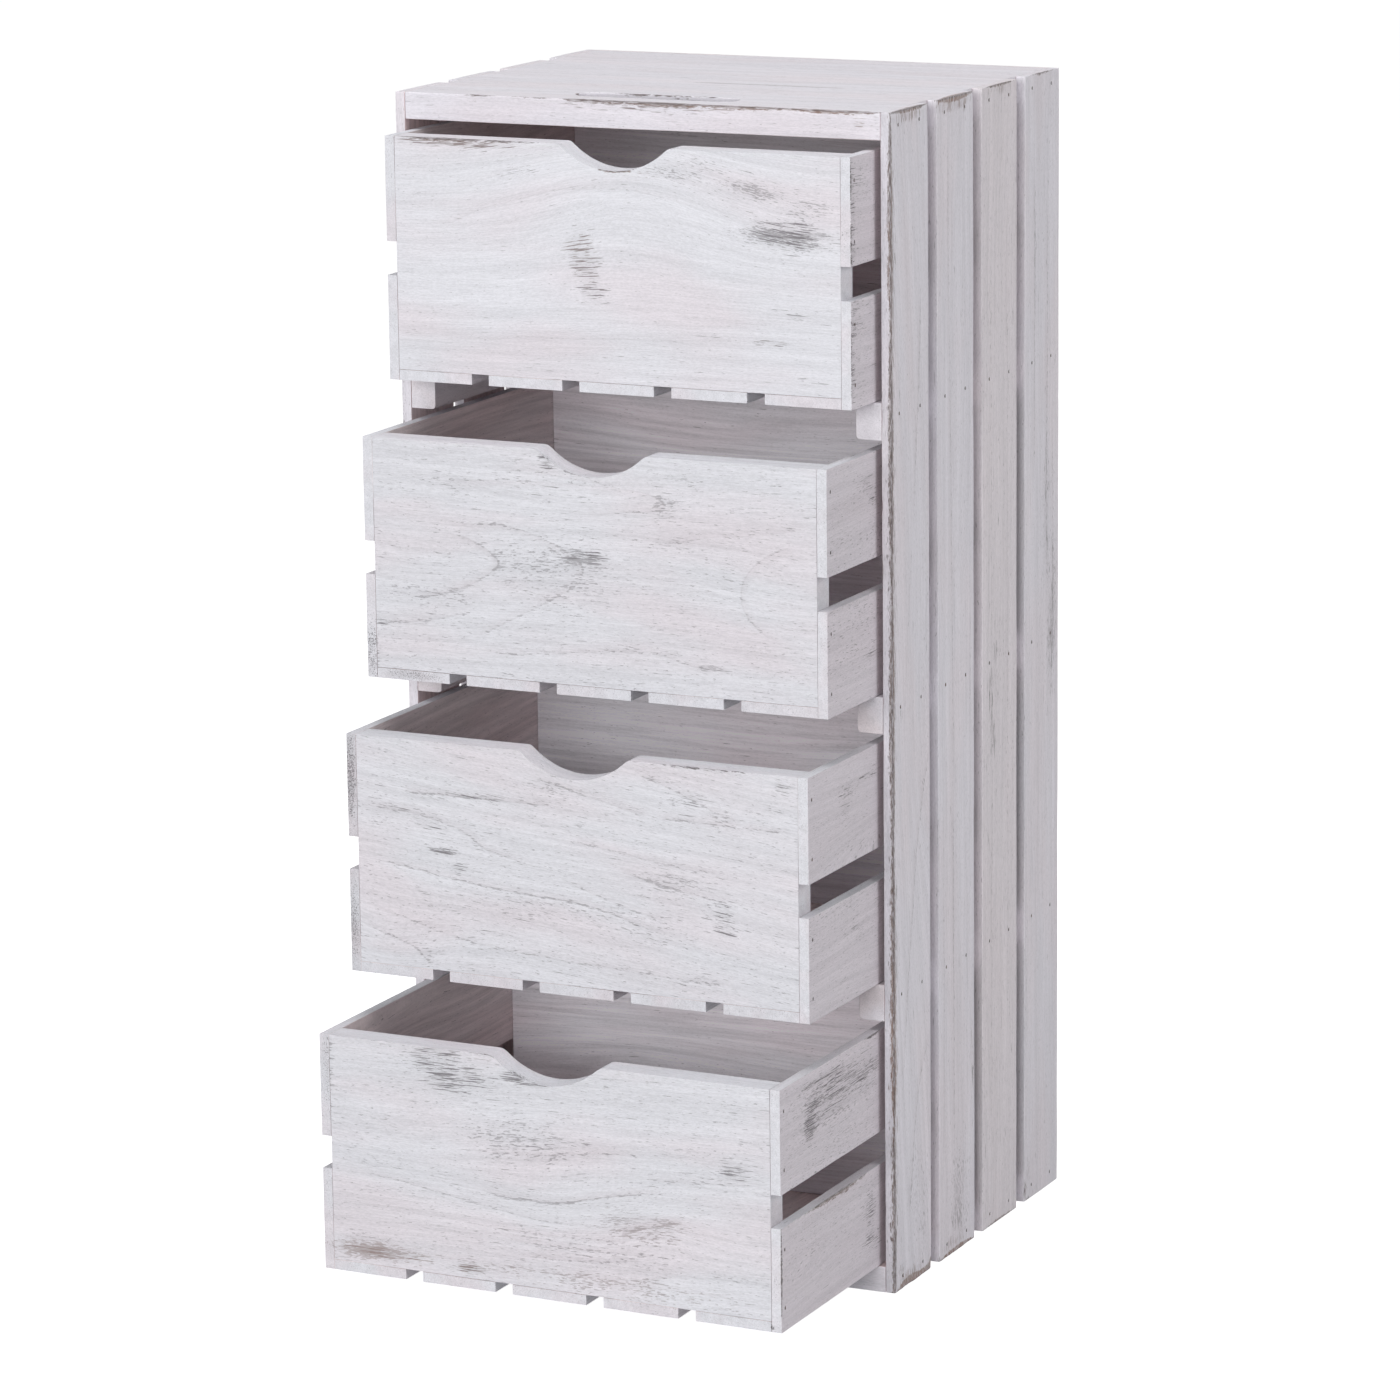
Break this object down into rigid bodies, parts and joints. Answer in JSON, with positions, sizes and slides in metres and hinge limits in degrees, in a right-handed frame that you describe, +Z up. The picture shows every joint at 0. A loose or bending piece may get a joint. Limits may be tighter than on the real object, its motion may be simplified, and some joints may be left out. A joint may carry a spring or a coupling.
{
  "type": "chest of drawers",
  "caption": "Tall slatted crate chest in rubbed white wood, with crate drawers that slide on side cleats and have arched finger notches.",
  "frame": {"origin": "on the floor, at the middle of the carcass's underside, drawers left out", "axes": "+Z up, +X to the right as seen from the front, -Y to the front, where the drawers come out"},
  "size_m": [0.374, 0.454, 0.82],
  "materials": {
    "carcass_wood": "matte whitewash, rubbed",
    "drawer_wood": "matte whitewash, rubbed",
    "inner_wood": "thin matte whitewash",
    "brad_steel": "dull"
  },
  "bodies": {
    "carcass": {"left_side_slat_1": "carcass_wood", "left_side_slat_2": "carcass_wood", "left_side_slat_3": "carcass_wood", "left_side_slat_4": "carcass_wood", "left_runner_1": "inner_wood", "left_runner_2": "inner_wood", "left_runner_3": "inner_wood", "right_side_slat_1": "carcass_wood", "right_side_slat_2": "carcass_wood", "right_side_slat_3": "carcass_wood", "right_side_slat_4": "carcass_wood", "right_runner_1": "inner_wood", "right_runner_2": "inner_wood", "right_runner_3": "inner_wood", "top_panel": "carcass_wood", "bottom_panel": "carcass_wood", "back_panel": "inner_wood", "side_slat_brads": "brad_steel", "back_panel_brads": "brad_steel"},
    "drawer_1": {"drawer_1_front": "drawer_wood", "drawer_1_back": "drawer_wood", "drawer_1_left_upper_slat": "drawer_wood", "drawer_1_left_lower_slat": "drawer_wood", "drawer_1_right_upper_slat": "drawer_wood", "drawer_1_right_lower_slat": "drawer_wood", "drawer_1_bottom_slats": "drawer_wood", "drawer_1_brads": "brad_steel"},
    "drawer_2": {"drawer_2_front": "drawer_wood", "drawer_2_back": "drawer_wood", "drawer_2_left_upper_slat": "drawer_wood", "drawer_2_left_lower_slat": "drawer_wood", "drawer_2_right_upper_slat": "drawer_wood", "drawer_2_right_lower_slat": "drawer_wood", "drawer_2_bottom_slats": "drawer_wood", "drawer_2_brads": "brad_steel"},
    "drawer_3": {"drawer_3_front": "drawer_wood", "drawer_3_back": "drawer_wood", "drawer_3_left_upper_slat": "drawer_wood", "drawer_3_left_lower_slat": "drawer_wood", "drawer_3_right_upper_slat": "drawer_wood", "drawer_3_right_lower_slat": "drawer_wood", "drawer_3_bottom_slats": "drawer_wood", "drawer_3_brads": "brad_steel"},
    "drawer_4": {"drawer_4_front": "drawer_wood", "drawer_4_back": "drawer_wood", "drawer_4_left_upper_slat": "drawer_wood", "drawer_4_left_lower_slat": "drawer_wood", "drawer_4_right_upper_slat": "drawer_wood", "drawer_4_right_lower_slat": "drawer_wood", "drawer_4_bottom_slats": "drawer_wood", "drawer_4_brads": "brad_steel"}
  },
  "joints": [
    {"name": "drawer_1_slide", "type": "slide", "parent": "carcass", "child": "drawer_1", "axis": [0, -1, 0], "range_m": [-0.038, 0.162]},
    {"name": "drawer_2_slide", "type": "slide", "parent": "carcass", "child": "drawer_2", "axis": [0, -1, 0], "range_m": [-0.079, 0.121]},
    {"name": "drawer_3_slide", "type": "slide", "parent": "carcass", "child": "drawer_3", "axis": [0, -1, 0], "range_m": [-0.112, 0.088]},
    {"name": "drawer_4_slide", "type": "slide", "parent": "carcass", "child": "drawer_4", "axis": [0, -1, 0], "range_m": [-0.16, 0.04]}
  ]
}
